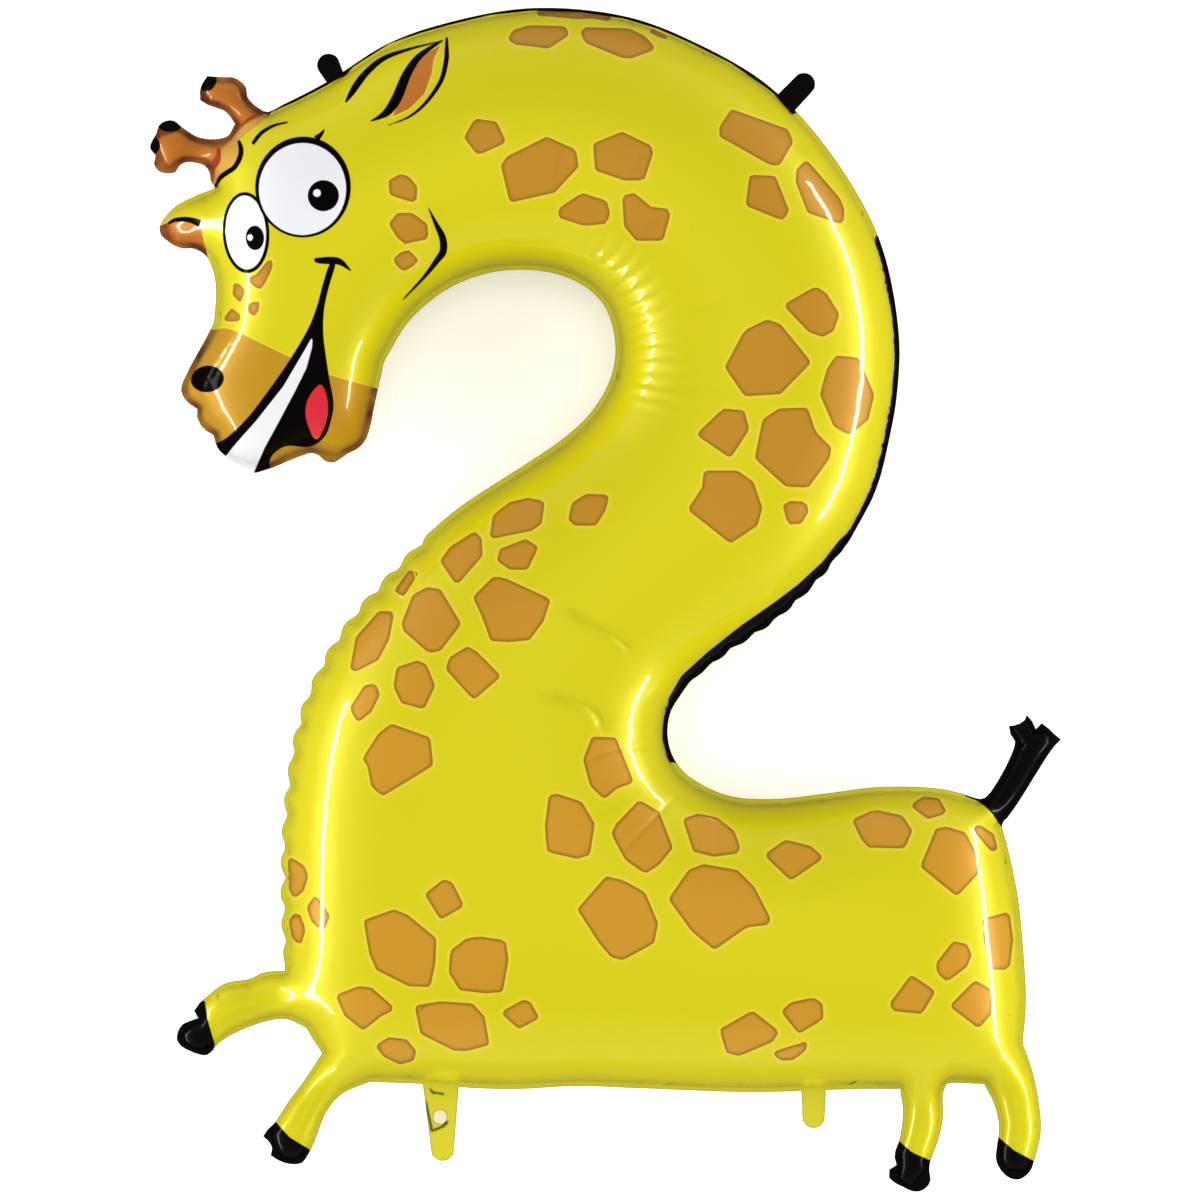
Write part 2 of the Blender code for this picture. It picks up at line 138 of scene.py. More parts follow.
# The print, all in drawn units
patches = {
    "rounding": 4.5,
    "mostRounding": 0.16,     # of the root of a patch's area
    "body": (
        ((507, 41), (513, 31), (529, 26), (565, 27), (570, 36), (549, 50), (516, 46)),
        ((580, 33), (585, 28), (630, 29), (645, 37), (657, 50), (631, 60), (621, 59),
         (585, 44)),
        ((529, 15), (540, 9), (585, 10), (608, 14), (616, 17), (578, 20)),
        ((640, 28), (654, 29), (680, 44), (659, 38)),
        ((464, 139), (475, 120), (497, 123), (507, 144), (478, 157)),
        ((501, 167), (507, 158), (547, 138), (576, 151), (579, 168), (555, 194),
         (510, 204)),
        ((593, 145), (622, 133), (651, 147), (653, 155), (644, 182), (624, 182),
         (595, 172)),
        ((558, 210), (582, 194), (607, 202), (610, 214), (607, 225), (584, 227),
         (559, 219)),
        ((622, 197), (634, 194), (651, 208), (668, 210), (670, 217), (663, 242),
         (636, 242), (624, 228)),
        ((719, 128), (731, 110), (788, 130), (793, 143), (779, 167), (769, 166),
         (719, 138)),
        ((749, 176), (775, 177), (789, 212), (782, 222), (745, 207)),
        ((806, 160), (796, 170), (795, 183), (807, 214), (843, 226), (844, 210),
         (840, 199)),
        ((782, 306), (815, 287), (826, 294), (839, 315), (833, 332), (822, 338),
         (808, 333)),
        ((724, 368), (744, 331), (767, 320), (780, 325), (811, 363), (780, 395),
         (744, 397)),
        ((819, 395), (826, 370), (835, 356), (858, 358), (874, 395), (868, 420),
         (849, 436), (833, 427)),
        ((695, 435), (723, 409), (744, 411), (749, 430), (730, 459)),
        ((754, 459), (762, 420), (778, 409), (807, 408), (815, 432), (831, 448),
         (829, 459), (808, 488), (785, 487)),
        ((687, 510), (702, 487), (703, 471), (737, 471), (753, 482), (762, 508),
         (757, 526), (730, 544)),
        ((782, 505), (790, 501), (806, 502), (808, 512), (801, 524), (787, 525)),
        ((568, 520), (572, 503), (586, 494), (610, 495), (605, 512), (596, 526),
         (575, 526)),
        ((394, 591), (409, 570), (420, 572), (404, 597)),
        ((440, 561), (450, 547), (475, 531), (482, 538), (483, 556), (457, 586)),
        ((490, 536), (493, 515), (510, 502), (528, 498), (545, 501), (542, 524),
         (532, 531), (493, 539)),
        ((497, 561), (500, 549), (526, 539), (539, 547), (528, 570), (510, 570)),
        ((402, 623), (413, 595), (427, 587), (441, 589), (462, 624), (441, 651),
         (429, 653), (404, 631)),
        ((473, 597), (493, 577), (503, 577), (551, 599), (544, 621), (530, 640),
         (510, 642), (491, 641), (482, 616)),
        ((350, 671), (356, 637), (379, 611), (395, 611), (390, 639), (379, 660),
         (358, 671)),
        ((394, 687), (397, 667), (418, 660), (427, 664), (436, 685), (425, 709),
         (402, 703)),
        ((446, 669), (450, 657), (468, 646), (477, 651), (502, 676), (474, 700)),
        ((350, 708), (365, 685), (376, 683), (381, 694), (372, 712), (358, 723)),
        ((363, 758), (379, 733), (392, 723), (431, 737), (434, 765), (383, 796),
         (372, 786), (368, 766)),
        ((583, 759), (592, 736), (616, 737), (622, 752), (634, 782), (617, 788),
         (604, 799), (590, 785)),
        ((545, 825), (549, 794), (558, 793), (582, 801), (595, 823), (590, 854),
         (577, 858), (547, 851)),
        ((611, 833), (616, 823), (639, 799), (659, 811), (673, 847), (659, 864),
         (645, 873), (625, 859)),
        ((682, 818), (698, 813), (717, 817), (734, 830), (740, 847), (737, 853),
         (713, 856), (693, 851)),
        ((763, 854), (785, 839), (810, 845), (824, 857), (790, 880)),
        ((577, 908), (606, 875), (623, 879), (645, 891), (658, 922), (654, 942),
         (623, 959), (611, 956), (599, 942)),
        ((668, 898), (688, 869), (703, 863), (737, 869), (754, 886), (770, 917),
         (768, 924), (747, 926), (714, 949), (691, 930)),
        ((288, 854), (306, 866), (309, 877), (304, 891), (294, 899), (289, 889)),
        ((307, 907), (316, 893), (331, 915), (324, 932), (312, 921)),
        ((289, 921), (294, 913), (301, 914), (306, 930), (301, 947), (292, 937)),
        ((364, 919), (395, 908), (409, 914), (437, 937), (436, 962), (431, 986),
         (409, 985), (377, 969), (370, 953)),
        ((451, 949), (467, 937), (480, 935), (506, 939), (509, 958), (503, 991),
         (485, 992), (460, 989), (449, 971)),
        ((425, 893), (444, 878), (453, 881), (465, 905), (441, 919)),
        ((336, 994), (359, 985), (372, 986), (397, 1008), (382, 1015), (364, 1030),
         (345, 1015)),
        ((415, 1004), (441, 1000), (473, 1002), (485, 1015), (490, 1044), (467, 1050),
         (455, 1050), (421, 1033)),
        ((500, 1011), (524, 998), (531, 1001), (540, 1017), (519, 1028)),
        ((375, 1045), (389, 1036), (407, 1038), (417, 1050), (414, 1060), (400, 1064),
         (384, 1056)),
        ((935, 962), (952, 940), (966, 943), (971, 954), (966, 966), (946, 981),
         (936, 972)),
        ((888, 1003), (910, 973), (935, 990), (921, 1013), (893, 1010)),
        ((948, 1005), (974, 979), (993, 990), (991, 1013), (978, 1028)),
        ((719, 1028), (752, 1009), (779, 1030), (772, 1041), (739, 1055), (726, 1052)),
        ((780, 1010), (790, 1001), (813, 996), (822, 1002), (823, 1018), (798, 1033)),
        ((771, 1051), (808, 1039), (805, 1050), (793, 1059), (780, 1060)),
        ((981, 918), (1009, 911), (1013, 939), (1009, 969), (989, 969), (983, 941)),
        ((851, 819), (874, 809), (902, 815), (912, 830), (904, 848), (868, 847),
         (861, 840)),
        ((909, 805), (923, 796), (939, 798), (947, 813), (927, 819)),
        ((919, 866), (935, 828), (946, 826), (965, 832), (979, 859), (979, 872),
         (956, 896)),
        ((971, 828), (979, 824), (994, 834), (998, 851), (990, 851)),
    ),
    "face": (
        ((389, 182), (401, 175), (410, 178), (418, 188), (417, 204), (407, 202),
         (390, 196)),
        ((389, 225), (398, 214), (413, 214), (428, 225), (429, 240), (405, 245),
         (398, 239)),
        ((393, 261), (401, 253), (410, 251), (419, 261), (417, 265), (405, 272),
         (400, 270)),
        ((250, 278), (257, 275), (269, 261), (275, 261), (272, 272), (265, 286),
         (260, 291), (251, 284)),
        ((234, 284), (239, 283), (246, 291), (242, 302), (240, 303), (233, 295)),
        ((224, 318), (232, 308), (241, 315), (241, 322), (226, 322)),
        ((248, 307), (254, 302), (260, 301), (260, 310), (255, 318), (249, 313)),
    ),
}
face = {
    "bigEyeRing": oval(303.8, 188.1, 47.9, 50.6),
    "bigEyeWhite": oval(303.3, 190.1, 43.6, 46.0),
    "bigPupil": oval(324.2, 196.9, 15.6, 15.6),
    "bigGlint": oval(317.8, 194.2, 3.9, 3.9),
    "smallEyeRing": oval(246.8, 233.4, 23.6, 40.6, -3),
    "smallEyeWhite": oval(246.6, 233.2, 20.2, 36.8, -3),
    "smallPupil": oval(255.7, 238.8, 9.3, 12.3, -3),
    "smallGlint": oval(250.9, 238.3, 2.9, 3.3),
    "nostril": oval(207.8, 379.2, 16.8, 13.4, -6),
    "mouth": smoothLoop((
        (336, 266), (330, 287), (325, 310), (324, 333), (326, 352), (330, 379),
        (334, 402), (332, 419), (325, 437), (310, 447), (290, 446), (279, 450),
        (270, 461), (270, 486), (248, 496), (216, 478), (207, 451), (228, 437),
        (249, 417), (272, 387), (292, 358), (309, 329), (318, 306), (323, 287),
        (330, 266))),
    "teeth": ((313.4, 337), (303, 355), (284, 387), (257, 421), (238, 442), (225, 457),
              (218, 474), (243, 494), (253, 474), (265, 448), (280, 421), (295.5, 392), (307, 369),
              (312.7, 348)),
    "tongue": smoothLoop((
        (321, 385), (327, 396), (328.5, 411), (325, 427), (316.5, 440), (309, 427),
        (306, 411), (310.5, 396))),
    "strokes": (
        stroke(((253, 145, 3.6), (258, 138, 4.2), (264, 132, 4.0), (275, 126, 3.0),
                (288, 123, 2.0))),
        stroke(((239, 141, 3.0), (241.5, 149, 5.0), (240.5, 158, 5.4), (235, 168, 5.0),
                (226, 174, 5.2), (220, 179, 4.6), (215, 188, 2.6))),
        stroke(((325.4, 130, 1.2), (322, 135, 4.0), (317, 140, 7.0))),
        stroke(((315, 260.5, 3.0), (320, 261.5, 6.0), (331, 261.5, 7.6),
                (341, 263, 6.4), (352, 272, 1.2))),
        stroke(((428.7, 208.5, 1.0), (436, 224, 4.2), (443, 239, 7.2),
                (443.5, 252, 7.4), (437.5, 261, 6.0), (425, 277, 3.6),
                (403.5, 300, 1.7))),
        stroke(((346, 103.5, 2.0), (352, 94, 6.0), (358, 84.5, 7.4), (367, 73, 6.8),
                (384, 59, 5.4), (409, 50, 3.2), (441, 42, 1.2))),
        stroke(((371, 122.5, 1.2), (380, 118.5, 4.6), (389, 112, 8.6), (398, 98, 10.4),
                (407, 76, 9.2), (420, 57, 6.4), (443, 41, 1.8))),
        stroke(((447, 38, 2.4), (447, 52, 4.6), (446.5, 62, 5.0), (441.5, 82, 4.6),
                (427, 103.5, 3.6), (410, 118, 2.4), (388, 127, 0.9))),
        stroke(((168, 224, 2.6), (174, 220.5, 4.2), (184, 219.4, 5.0),
                (193, 221, 6.0), (200.5, 224, 7.4))),
    ),
}
dark = {
    "hooves": (
        ((205, 1001), (208, 1020), (215, 1044), (210, 1062), (165, 1062), (165, 1008),
         (193, 1000)),
        ((275, 1121), (290, 1137), (311, 1150), (312, 1176), (252, 1176), (252, 1130)),
        ((897, 1139), (912, 1152), (932, 1161), (942, 1200), (875, 1200), (880, 1150)),
        ((995, 1134), (1014, 1150), (1036, 1162), (1046, 1192), (984, 1192),
         (986, 1138))),
    "tail": ((964, 796), (978, 801), (990, 811), (1001, 827), (1030, 836), (1082, 780),
             (1082, 700), (990, 700), (970, 785)),
    "tabs": (
        ((346, 75.5), (325, 85.5), (304, 78), (308, 44), (346, 44), (354, 66)),
        ((772, 92), (792, 115), (832, 96), (826, 60), (788, 62))),
    "hornTips": (
        oval(150, 145, 10.5, 9.5, 20), oval(169, 124.5, 12.5, 7.5, 8),
        oval(207, 81, 9.6, 10.6, 20)),
    # The mane, from the brow over the neck to its foot: its edge on the yellow,
    # then a way back round the outside of the balloon
    "crown": (
        (266, 114.5), (296, 101.5), (327, 85.5), (356, 65.2), (390, 43.6), (421, 33),
        (451, 24.6), (491, 15), (532, 10.8), (580, 12.5), (624, 18.8), (658, 29),
        (689, 42.5), (731, 63.5), (767, 88.5), (796, 112), (840, 60), (820, 20),
        (600, -30), (400, -10), (255, 105)),
    "mane": (
        (880, 505), (856, 525), (839, 540), (822, 562), (797, 585), (773, 603),
        (740, 626), (706, 653), (681, 676), (668, 699), (667, 722), (690, 740),
        (720, 740), (760, 690), (830, 650), (900, 560)),
    # where the mane is a band of one height on both sides of the weld
    "band": (
        (875, 236), (915, 236), (915, 420), (900, 500), (870, 560), (800, 640),
        (720, 700), (690, 740), (690, 765), (655, 760), (650, 720), (655, 695),
        (680, 650), (740, 600), (800, 555), (845, 500), (870, 440), (878, 366)),
    "bandHeight": 0.011,      # metres
}
# Paler ground at the roots of the horns, and painted shade in dark red where the film folds there
hornRoots = (
    ((267, 112), (258, 118), (246, 125), (238, 132), (229, 141), (222, 150), (219, 160),
     (215, 172), (212, 188), (220, 179), (227, 174), (235, 168), (241, 158),
     (241.5, 149), (239, 141), (247, 134), (258, 126), (268, 117.5)),
)
paintedHornFoldShade = (
    stroke(((240, 127, 1.2), (247, 121, 2.6), (255, 116.5, 2.6), (264, 113, 1.2))),
    stroke(((218, 147, 1.8), (219, 155, 5.0), (216, 163, 7.5), (211.5, 170, 3.6))),
)
# Painted shade of the folds round the filling hole, as dark olive strokes
valveFoldShadows = (
    stroke(((426, 1101, 1.8), (427.5, 1110, 2.6), (430, 1121, 2.6), (432, 1131, 3.0))),
    stroke(((431, 1131, 3.0), (438, 1128.5, 2.8), (444, 1125.5, 3.0), (447.5, 1121, 3.8))),
    stroke(((430, 1088.5, 1.8), (433, 1092.5, 2.8), (438, 1093, 2.2), (444, 1094.5, 2.4))),
)
brown = {
    "muzzle": ((205, 327), (213, 329.5), (226, 328.5), (238, 332), (257, 341.5),
               (284, 354.5), (300, 362), (330, 375.5), (351, 381.5), (379, 389),
               (392, 396), (385, 470), (320, 485), (240, 490), (170, 430), (170, 350)),
    "horns": ((214, 189), (220, 179), (227, 174), (235, 168), (241, 158), (241.5, 149),
              (239, 141), (247, 134), (258, 126), (268, 117.5), (276, 105), (262, 62),
              (190, 50), (130, 110), (130, 180), (195, 192)),
    "sideEar": ((154, 228), (170, 222), (184, 219), (201, 222), (203, 236),
                (208, 258), (190, 262), (160, 246)),
    "earLeaf": ((441, 46), (434, 60), (432, 75), (425, 95), (410, 110), (393, 118),
                (398, 106), (405, 88), (412, 72), (424, 56)),
}
blackEnds = dark["hooves"] + dark["tabs"] + dark["hornTips"] + (
    dark["tail"], dark["crown"], dark["mane"])
# the layers of print in the order in which they are laid on the film
printedLayers = ("brown", "hornRoot", "hornFold", "valveMark", "ends", "ink", "smallWhite",
                 "bigRing", "bigWhite", "tongue", "pupils", "glints")

# The film: two sheets welded round one outline and blown up
film = {
    "seamHeight": 0.0852856,    # of the plane of the weld over the floor
    "cadLift": 0.0010,          # half the thickness of the CAD weld
    "lift": 0.0004,             # half the gap between the two films at the weld
    "fillingHole": (440, 1117),
    "rimStart": (565, 8),       # drawn place, clear of the puckers, where the rim begins
    "broadSpan": 0.075,         # half width past which a panel hardly swells more
    "easing": 0.0012,           # how softly the flat spot on the floor begins
    "samples": 0.0008,          # between the places from which distances are taken
    "holeReach": 0.02,          # round the filling hole, whose edge stays open
    # spacing of the points, in metres
    "rimSpacing": 0.0030,
    "weldSpacing": 0.0030,
    "strokeSpacing": 0.0010,
    "faceSpacing": 0.0015,
    "creaseSpacing": 0.0016,
    "frontSpacing": 0.0033,     # along the other printed edges
    "frontWidest": 0.0060,
    "backSpacing": 0.0064,
    "backWidest": 0.0100,
    "grading": 0.50,            # how fast the spacing grows away from an edge
    "longest": 1.45,            # times the spacing, past which an edge is split
    "passes": 7,
    "sharpest": 0.9,            # radians, past which the outline has a corner
}


# One sheet, laid flat, from the CAD skin that looks the given way
def flatSheet(node, side):
    sheet = bmesh.new()
    sheet.from_mesh(node.data)
    bmesh.ops.remove_doubles(sheet, verts=sheet.verts, dist=2e-5)
    welded = sheet.faces.layers.int.new("welded")
    others = []
    for facet in sheet.faces:
        heights = [side * (v.co.z - film["seamHeight"]) for v in facet.verts]
        if side * facet.normal.z < 0.02 or min(heights) < film["cadLift"] - 2e-5:
            others.append(facet)
        facet[welded] = int(max(heights) < film["cadLift"] + 2e-5)
    bmesh.ops.delete(sheet, geom=others, context="FACES")
    for vert in sheet.verts:
        vert.co.z = 0.0
    return sheet


def isWeldLine(edge, welded):
    faces = edge.link_faces
    return len(faces) == 2 and faces[0][welded] != faces[1][welded]


# The edges that stay where they are: the rim, the filling hole and the weld
def fixedEdges(sheet, welded):
    near = {e for f in sheet.faces if f[welded] for e in f.edges}
    return {e for e in near if e.is_boundary or isWeldLine(e, welded)}


def flatPoints(sheet):
    return np.array([v.co.xy for v in sheet.verts])


def flatLines(edges):
    return [np.array([v.co.xy for v in edge.verts]) for edge in edges]


# A search tree over outlines or open lines in metres
def edgeTree(outlines, closed=True):
    samples = []
    for outline in outlines:
        after = np.roll(outline, -1, axis=0) if closed else outline[1:]
        for a, b in zip(outline, after):
            count = max(1, int(np.linalg.norm(b - a) / film["samples"]))
            samples += [a + (b - a) * k / count for k in range(count + (not closed))]
    tree = KDTree(len(samples))
    for index, (x, y) in enumerate(samples):
        tree.insert((x, y, 0), index)
    tree.balance()
    return tree


def printTree(shapes):
    return edgeTree([toMetres(shape) for shape in shapes])


def nearestIn(tree, points):
    return np.array([tree.find((x, y, 0))[2] for x, y in points])


# Splits the long edges of a sheet until its points are as close as the nearest
# edge of the weld or of the print needs, and evens them out
def refine(sheet, trees, widest):
    welded = sheet.faces.layers.int["welded"]
    for turn in range(film["passes"]):
        points = flatPoints(sheet)
        wanted = np.full(len(points), widest)
        for tree, spacing in trees:
            graded = spacing + film["grading"] * nearestIn(tree, points)
            wanted = np.minimum(wanted, graded)
        sheet.verts.index_update()
        longOnes = []
        for edge in sheet.edges:
            a, b = edge.verts
            limit = min(wanted[a.index], wanted[b.index])
            if edge.is_boundary:
                limit = film["rimSpacing"]
            if edge.calc_length() > film["longest"] * limit:
                longOnes.append(edge)
        print("  pass", turn + 1, len(points), "points,", len(longOnes), "long edges")
        if not longOnes:
            break
        rounded = curvedMiddles(sheet, longOnes, welded)
        bmesh.ops.subdivide_edges(sheet, edges=longOnes, cuts=1)
        for vert in sheet.verts:
            key = (round(vert.co.x, 7), round(vert.co.y, 7))
            if key in rounded:
                vert.co.xy = rounded[key]
        broad = [f for f in sheet.faces if len(f.verts) > 3]
        bmesh.ops.triangulate(sheet, faces=broad)
        evenOut(sheet, welded, 2)
    evenOut(sheet, welded, 4)


# Where the middle of a split edge of the rim or the weld goes, so that the
# line stays a curve: the four-point rule, left out at a corner
def curvedMiddles(sheet, edges, welded):
    lines = {}
    fixed = fixedEdges(sheet, welded)
    for edge in fixed:
        for vert in edge.verts:
            lines.setdefault((edge.is_boundary, vert), []).append(edge)
    moved = {}
    for edge in fixed.intersection(edges):
        a, b = edge.verts
        beside = []
        for vert, other in ((a, b), (b, a)):
            here = lines[(edge.is_boundary, vert)]
            if len(here) != 2:
                break
            nextEdge = here[0] if here[1] == edge else here[1]
            further = nextEdge.other_vert(vert)
            turn = (vert.co - other.co).angle(further.co - vert.co, math.pi)
            if turn > film["sharpest"]:
                break
            beside.append(further)
        if len(beside) == 2:
            middle = (a.co + b.co) / 2
            outer = (beside[0].co + beside[1].co) / 2
            place = middle * 1.125 - outer * 0.125
            moved[(round(middle.x, 7), round(middle.y, 7))] = place.xy
    return moved


def evenOut(sheet, welded, times):
    lines = fixedEdges(sheet, welded)
    fixed = {v for e in lines for v in e.verts}
    free = [v for v in sheet.verts if v not in fixed]
    for _ in range(times):
        inner = [e for e in sheet.edges if e not in lines]
        bmesh.ops.beautify_fill(sheet, faces=sheet.faces[:], edges=inner, method="ANGLE")
        bmesh.ops.smooth_vert(sheet, verts=free, factor=0.5, use_axis_x=True,
                              use_axis_y=True, use_axis_z=False)


# The slope of a value at each point: the mean over the triangles round it,
# evened out over the neighbours
def slopeOf(points, triangles, value, smoothing):
    a, b, c = (points[triangles[:, k]] for k in range(3))
    u, v, w = (value[triangles[:, k]] for k in range(3))
    twice = (b[:, 0] - a[:, 0]) * (c[:, 1] - a[:, 1]) - (b[:, 1] - a[:, 1]) * (c[:, 0] - a[:, 0])
    across = u * (b[:, 1] - c[:, 1]) + v * (c[:, 1] - a[:, 1]) + w * (a[:, 1] - b[:, 1])
    upward = u * (c[:, 0] - b[:, 0]) + v * (a[:, 0] - c[:, 0]) + w * (b[:, 0] - a[:, 0])
    count = len(points)
    corners = triangles.ravel()
    area = np.maximum(np.bincount(corners, np.repeat(np.abs(twice), 3), count), 1e-15)
    slope = np.column_stack([
        np.bincount(corners, np.repeat(np.sign(twice) * part, 3), count) / area
        for part in (across, upward)])
    first = np.concatenate([triangles[:, k] for k in range(3)])
    second = np.roll(triangles, -1, axis=1).T.ravel()
    degree = np.maximum(np.bincount(first, minlength=count)
                        + np.bincount(second, minlength=count), 1)
    for _ in range(smoothing):
        for k in range(2):
            around = np.bincount(first, slope[second, k], count)
            around += np.bincount(second, slope[first, k], count)
            slope[:, k] = (slope[:, k] + around / degree) / 2
    return slope


# How far a blown-up membrane sags: laplacian(sag) = -1 with the weld held. The
# root of twice the sag is a round tube's half circle. The film can't stretch,
# so a broad panel is held back by sag / broadSpan squared.
def sagOf(points, triangles, held):
    corners = points[triangles]
    unknown = ~held
    weights = []
    for k in range(3):
        a, b, c = corners[:, k], corners[:, (k + 1) % 3], corners[:, (k + 2) % 3]
        u, v = b - a, c - a
        cross = np.maximum(np.abs(u[:, 0] * v[:, 1] - u[:, 1] * v[:, 0]), 1e-12)
        slope = (u * v).sum(axis=1) / cross / 2
        weights.append((triangles[:, (k + 1) % 3], triangles[:, (k + 2) % 3], slope))
    first = np.concatenate([w[0] for w in weights])
    second = np.concatenate([w[1] for w in weights])
    weight = np.concatenate([w[2] for w in weights])
    count = len(points)
    share = np.bincount(triangles.ravel(), np.repeat(cross / 6, 3), count)
    diagonal = (np.bincount(first, weight, count) + np.bincount(second, weight, count)
                + share / film["broadSpan"] ** 2)
    diagonal = np.maximum(diagonal, 1e-6)

    def pull(u):
        pulled = np.bincount(first, weight * u[second], count)
        pulled += np.bincount(second, weight * u[first], count)
        return np.where(unknown, diagonal * u - pulled, 0)

    sag = np.zeros(count)
    rest = np.where(unknown, share, 0)
    scaled = rest / diagonal
    step = scaled.copy()
    energy = rest @ scaled
    start = energy
    for turn in range(4000):
        pushed = pull(step)
        size = energy / (step @ pushed)
        sag += size * step
        rest -= size * pushed
        scaled = rest / diagonal
        fresh = rest @ scaled
        if fresh < 1e-14 * start:
            break
        step = scaled + fresh / energy * step
        energy = fresh
    print("  swollen in", turn, "steps")
    return np.maximum(sag, 0)


# Folds that run in from the weld, and long creases across the film
folds = {
    "reach": 0.0075,         # how far in a pucker fades to a third
    "start": 0.002,          # how soon it begins, and where it counts as gone
    "end": 0.06,
    "deepest": 0.8,          # of the swell
    "chestDepth": 0.0042,
    "napeDepth": 0.0024,
    "plainDepth": 0.0002,
    "chestPitch": 0.026,
    "napePitch": 0.024,
    "plainPitch": 0.021,
    "plainRipples": ((0.0, 1.0), (0.31, 1.43)),    # where two runs start, their pitches
    "chest": ((285, 971), (441, 522)),
    "nape": ((850, 540), (690, 682)),
}
creases = (
    # drawn line, depth and half width in metres
    (((553, 600), (590, 622), (620, 640), (633, 654)), 0.0026, 0.0034),
    (((535, 692), (560, 697), (585, 705), (598, 716), (604, 735)), 0.0030, 0.0036),
    (((583, 759), (600, 754), (621, 749), (668, 745)), 0.0014, 0.0018),
    (((564, 833), (577, 825), (592, 817), (640, 790)), 0.0006, 0.0016),
    (((620, 853), (637, 836), (658, 814), (690, 782)), 0.0014, 0.0020),
    (((695, 815), (697, 850), (699, 900)), 0.0004, 0.0018),
    (((717, 812), (716, 850), (714, 880)), 0.0004, 0.0018),
    (((561, 141), (558, 165), (553, 196)), 0.0008, 0.0018),
    (((646, 148), (638, 165), (629, 184)), 0.0008, 0.0018),
    (((665, 211), (652, 226), (637, 243)), 0.0010, 0.0018),
    (((620, 318), (660, 322), (700, 309), (740, 290)), 0.0006, 0.0030),
    (((600, 396), (640, 377), (690, 386), (730, 389)), 0.0006, 0.0030),
    (((237, 330), (222, 352), (207, 375), (203, 392), (212, 415), (227, 437)),
     -0.0009, 0.0020),
)


def foldDepth(points, rim, rimAlong, total, weldAway, lines):
    depth = np.zeros(len(points))
    near = np.flatnonzero(weldAway < folds["end"])
    tree = KDTree(len(rim))
    for index, (x, y) in enumerate(rim):
        tree.insert((x, y, 0), index)
    tree.balance()
    nearest = np.array([tree.find((x, y, 0))[1] for x, y in points[near]])
    along = rimAlong[nearest]
    fade = np.exp(-weldAway[near] / folds["reach"])
    wave = np.zeros(len(near))
    for place, pitch in folds["plainRipples"]:
        bulges = round(total / (pitch * folds["plainPitch"]))
        ridge = np.abs(np.sin(math.pi * (bulges * along / total + place)))
        wave += folds["plainDepth"] / 2 * (1 - ridge)
    for name in ("chest", "nape"):
        ends = []
        for x, y in toMetres(folds[name]):
            ends.append(rimAlong[tree.find((x, y, 0))[1]])
        span = abs(ends[1] - ends[0])
        share = (along - min(ends)) / span
        within = (share > 0) & (share < 1)
        bulges = max(1, round(0.97 * span / folds[name + "Pitch"]))
        ridge = np.abs(np.sin(math.pi * bulges * share))
        ease = np.clip(6 * np.minimum(share, 1 - share), 0, 1)
        wave += np.where(within, folds[name + "Depth"] * ease * (1 - ridge), 0)
    depth[near] += wave * fade * (1 - np.exp(-weldAway[near] / folds["start"]))
    for line, deep, wide in lines:
        path = toMetres(smoothLine(line))
        away = np.full(len(points), 1.0)
        place = np.zeros(len(points))
        low, high = path.min(axis=0) - 4 * wide, path.max(axis=0) + 4 * wide
        close = np.flatnonzero(((points > low) & (points < high)).all(axis=1))
        for k, (a, b) in enumerate(zip(path, path[1:])):
            edge = b - a
            share = np.clip(((points[close] - a) @ edge) / (edge @ edge), 0, 1)
            gap = np.linalg.norm(points[close] - a - share[:, None] * edge, axis=1)
            nearer = gap < away[close]
            away[close] = np.where(nearer, gap, away[close])
            place[close] = np.where(nearer, (k + share) / (len(path) - 1), place[close])
        ease = np.clip(5 * np.minimum(place, 1 - place), 0, 1)
        depth[close] += deep * (ease * np.exp(-(away / wide) ** 2))[close]
    return depth


# The outer edge of a sheet as ordered points from one fixed place, always the
# same way round, with the way along it
def rimOf(sheet):
    edges = [e for e in sheet.edges if e.is_boundary]
    loops = []
    left = set(edges)
    while left:
        edge = left.pop()
        start, vert = edge.verts
        loop = [start, vert]
        while vert != start:
            edge = next(e for e in vert.link_edges if e in left)
            left.remove(edge)
            vert = edge.other_vert(vert)
            loop.append(vert)
        loops.append(loop[:-1])
    rim = max(loops, key=len)
    points = np.array([v.co.xy for v in rim])
    begin = toMetres((film["rimStart"],))[0]
    first = int(np.linalg.norm(points - begin, axis=1).argmin())
    rim, points = rim[first:] + rim[:first], np.roll(points, -first, axis=0)
    after = np.roll(points, -1, axis=0)
    if (points[:, 0] * after[:, 1] - after[:, 0] * points[:, 1]).sum() < 0:
        rim = rim[:1] + rim[:0:-1]
        points = np.vstack((points[:1], points[:0:-1]))
    runs = np.linalg.norm(np.roll(points, -1, axis=0) - points, axis=1)
    return rim, points, np.concatenate(([0.0], np.cumsum(runs)[:-1])), runs.sum()


# Each layer of the print as the distance to its edge, at every point of a sheet
def printOn(points, front):
    laid = {name: () for name in printedLayers}
    laid["brown"] = tuple(brown.values())
    laid["ends"] = blackEnds
    spots = patches["body"]
    if front:
        laid["ink"] = face["strokes"] + tuple(
            face[name] for name in ("nostril", "smallEyeRing", "mouth"))
        laid["hornRoot"] = hornRoots
        laid["hornFold"] = paintedHornFoldShade
        laid["valveMark"] = valveFoldShadows
        laid["smallWhite"] = (face["smallEyeWhite"],)
        laid["bigRing"] = (face["bigEyeRing"],)
        laid["bigWhite"] = (face["bigEyeWhite"], face["teeth"])
        laid["tongue"] = (face["tongue"],)
        laid["pupils"] = (face["bigPupil"], face["smallPupil"])
        laid["glints"] = (face["bigGlint"], face["smallGlint"])
        spots = spots + patches["face"]
    layers = {name: distanceToPrint(points, shapes) for name, shapes in laid.items()}
    layers["patch"] = distanceToPrint(points, spots, patches["rounding"])
    layers["band"] = distanceToPrint(points, (dark["band"],))
    return layers


